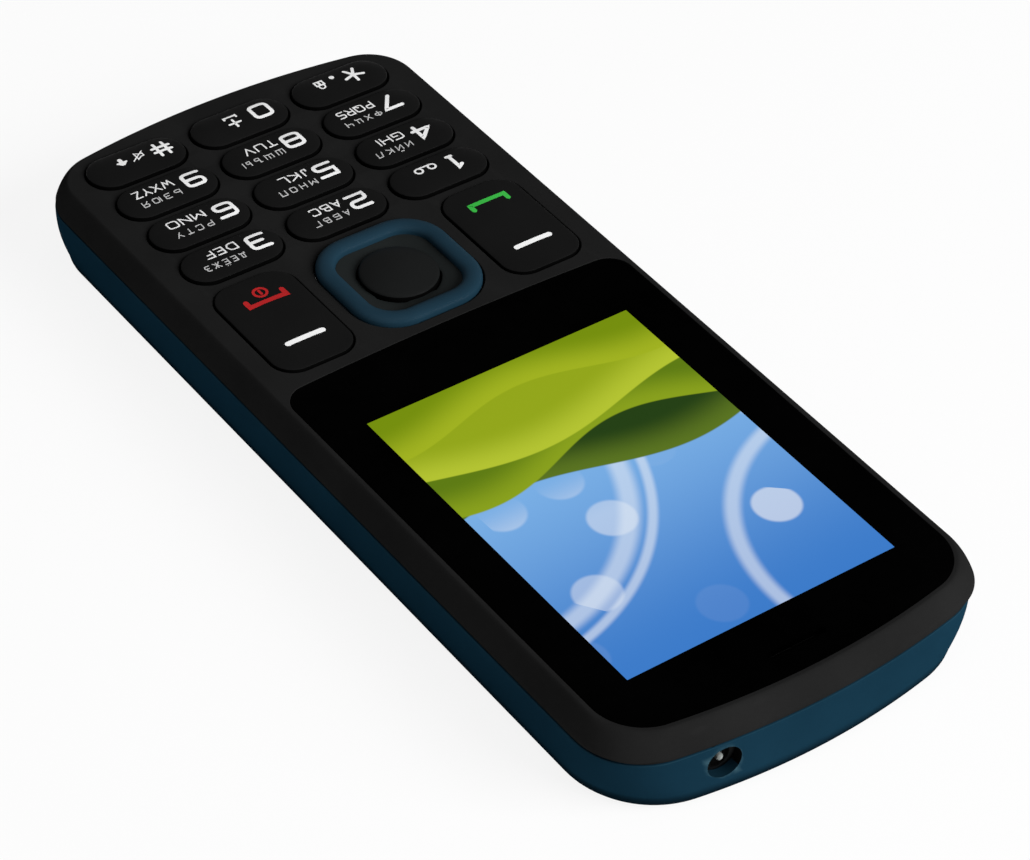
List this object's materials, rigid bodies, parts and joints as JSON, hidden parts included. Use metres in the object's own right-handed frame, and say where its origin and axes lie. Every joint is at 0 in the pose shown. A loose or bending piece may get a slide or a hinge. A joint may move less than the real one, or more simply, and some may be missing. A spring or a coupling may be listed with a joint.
{
  "type": "feature phone",
  "caption": "Slab mobile phone with a glossy screen window over a keypad, a square navigation key with a blue rim, and a blue lift-off battery cover.",
  "frame": {"origin": "under the middle of the phone, on the surface that it lies on with its screen up", "axes": "+X to the right as the screen is read, +Y to the top end with the torch, +Z out of the screen"},
  "size_m": [0.052, 0.1244, 0.0122],
  "materials": {
    "housing": "fine-textured black",
    "cover": "satin dark blue",
    "chassis": "plain moulded",
    "screw_steel": "zinc plated",
    "window": "glossy black border with a clear middle",
    "tape": "matte adhesive tape",
    "display": "lit screen",
    "light_guide": "milky",
    "stamped_steel": "stamped sheet",
    "ribbon": "amber film",
    "foam": "soft foam",
    "grille": "black mesh",
    "key_cap": "satin dark grey",
    "nav_plate": "smooth black",
    "nav_rim": "metallic blue",
    "silicone": "translucent",
    "film": "thin film",
    "spring_steel": "bright",
    "lamp": "clear over white",
    "board": "green solder mask",
    "battery_can": "wrapped can",
    "gold": "gold plated",
    "black_plastic": "moulded",
    "weight_metal": "sintered metal",
    "antenna_metal": "plated film"
  },
  "bodies": {
    "phone": {"front_housing": "housing", "mid_frame": "chassis", "case_screws": "screw_steel", "display_lens": "window", "lens_adhesive": "tape", "lcd_glass": "display", "lcd_backlight": "light_guide", "lcd_frame": "stamped_steel", "lcd_flex": "ribbon", "lcd_gasket": "foam", "lcd_cushion": "foam", "earpiece_grille": "grille", "earpiece": "stamped_steel", "keypad_mat": "silicone", "dome_sheet": "film", "key_domes": "spring_steel", "keypad_leds": "lamp", "main_board": "board", "radio_shield": "stamped_steel", "processor_shield": "stamped_steel", "sim_socket_1": "stamped_steel", "sim_socket_2": "stamped_steel", "card_socket": "stamped_steel", "battery_connector": "black_plastic", "battery_contacts": "gold", "loudspeaker": "black_plastic", "speaker_gasket": "foam", "vibration_motor": "stamped_steel", "microphone": "stamped_steel", "microphone_boot": "tape", "usb_shell": "stamped_steel", "usb_tongue": "black_plastic", "audio_jack": "black_plastic", "torch_led": "lamp", "antenna": "antenna_metal"},
    "cover": {"battery_cover": "cover"},
    "battery": {"battery": "battery_can", "battery_terminals": "gold"},
    "left_function": {"left_function_key": "key_cap"},
    "right_function": {"right_function_key": "key_cap"},
    "nav_tilt": {"nav_pivot": "chassis"},
    "nav": {"nav_key": "nav_plate", "nav_ring": "nav_rim"},
    "ok": {"ok_key": "key_cap"},
    "weight": {"vibration_weight": "weight_metal"},
    "key_1": {"key_1": "key_cap"},
    "key_2": {"key_2": "key_cap"},
    "key_3": {"key_3": "key_cap"},
    "key_4": {"key_4": "key_cap"},
    "key_5": {"key_5": "key_cap"},
    "key_6": {"key_6": "key_cap"},
    "key_7": {"key_7": "key_cap"},
    "key_8": {"key_8": "key_cap"},
    "key_9": {"key_9": "key_cap"},
    "key_star": {"key_star": "key_cap"},
    "key_0": {"key_0": "key_cap"},
    "key_hash": {"key_hash": "key_cap"}
  },
  "joints": [
    {"name": "cover_slide", "type": "slide", "parent": "phone", "child": "cover", "axis": [0, 0, -1], "range_m": [0, 0.035]},
    {"name": "battery_slide", "type": "slide", "parent": "phone", "child": "battery", "axis": [0, 0, -1], "range_m": [0, 0.0175]},
    {"name": "key_1_press", "type": "slide", "parent": "phone", "child": "key_1", "axis": [0, 0, -1], "range_m": [0, 0.00035], "stiffness_N_per_m": 200, "springref_m": -0.0005},
    {"name": "key_2_press", "type": "slide", "parent": "phone", "child": "key_2", "axis": [0, 0, -1], "range_m": [0, 0.00035], "stiffness_N_per_m": 200, "springref_m": -0.0005},
    {"name": "key_3_press", "type": "slide", "parent": "phone", "child": "key_3", "axis": [0, 0, -1], "range_m": [0, 0.00035], "stiffness_N_per_m": 200, "springref_m": -0.0005},
    {"name": "key_4_press", "type": "slide", "parent": "phone", "child": "key_4", "axis": [0, 0, -1], "range_m": [0, 0.00035], "stiffness_N_per_m": 200, "springref_m": -0.0005},
    {"name": "key_5_press", "type": "slide", "parent": "phone", "child": "key_5", "axis": [0, 0, -1], "range_m": [0, 0.00035], "stiffness_N_per_m": 200, "springref_m": -0.0005},
    {"name": "key_6_press", "type": "slide", "parent": "phone", "child": "key_6", "axis": [0, 0, -1], "range_m": [0, 0.00035], "stiffness_N_per_m": 200, "springref_m": -0.0005},
    {"name": "key_7_press", "type": "slide", "parent": "phone", "child": "key_7", "axis": [0, 0, -1], "range_m": [0, 0.00035], "stiffness_N_per_m": 200, "springref_m": -0.0005},
    {"name": "key_8_press", "type": "slide", "parent": "phone", "child": "key_8", "axis": [0, 0, -1], "range_m": [0, 0.00035], "stiffness_N_per_m": 200, "springref_m": -0.0005},
    {"name": "key_9_press", "type": "slide", "parent": "phone", "child": "key_9", "axis": [0, 0, -1], "range_m": [0, 0.00035], "stiffness_N_per_m": 200, "springref_m": -0.0005},
    {"name": "key_star_press", "type": "slide", "parent": "phone", "child": "key_star", "axis": [0, 0, -1], "range_m": [0, 0.00035], "stiffness_N_per_m": 200, "springref_m": -0.0005},
    {"name": "key_0_press", "type": "slide", "parent": "phone", "child": "key_0", "axis": [0, 0, -1], "range_m": [0, 0.00035], "stiffness_N_per_m": 200, "springref_m": -0.0005},
    {"name": "key_hash_press", "type": "slide", "parent": "phone", "child": "key_hash", "axis": [0, 0, -1], "range_m": [0, 0.00035], "stiffness_N_per_m": 200, "springref_m": -0.0005},
    {"name": "ok_press", "type": "slide", "parent": "phone", "child": "ok", "axis": [0, 0, -1], "range_m": [0, 0.00035], "stiffness_N_per_m": 200, "springref_m": -0.0005},
    {"name": "left_function_rock", "type": "hinge", "parent": "phone", "child": "left_function", "pos_m": [-0.0163, -0.01895, 0.00935], "axis": [1, 0, 0], "range_deg": [-2, 2], "stiffness_Nm_per_rad": 0.02},
    {"name": "right_function_rock", "type": "hinge", "parent": "phone", "child": "right_function", "pos_m": [0.0163, -0.01895, 0.00935], "axis": [1, 0, 0], "range_deg": [-2, 2], "stiffness_Nm_per_rad": 0.02},
    {"name": "nav_left_right", "type": "hinge", "parent": "phone", "child": "nav_tilt", "pos_m": [0, -0.01895, 0.00935], "axis": [0, 1, 0], "range_deg": [-1.4, 1.4], "stiffness_Nm_per_rad": 0.02},
    {"name": "nav_up_down", "type": "hinge", "parent": "nav_tilt", "child": "nav", "pos_m": [0, -0.01895, 0.00935], "axis": [1, 0, 0], "range_deg": [-1.4, 1.4], "stiffness_Nm_per_rad": 0.02},
    {"name": "weight_spin", "type": "hinge", "parent": "phone", "child": "weight", "pos_m": [0.0059, 0.05535, 0.0041], "axis": [1, 0, 0], "continuous": true}
  ],
  "couplings": [
    {"joint": "battery_slide", "follows": "cover_slide", "ratio": 0.5}
  ]
}
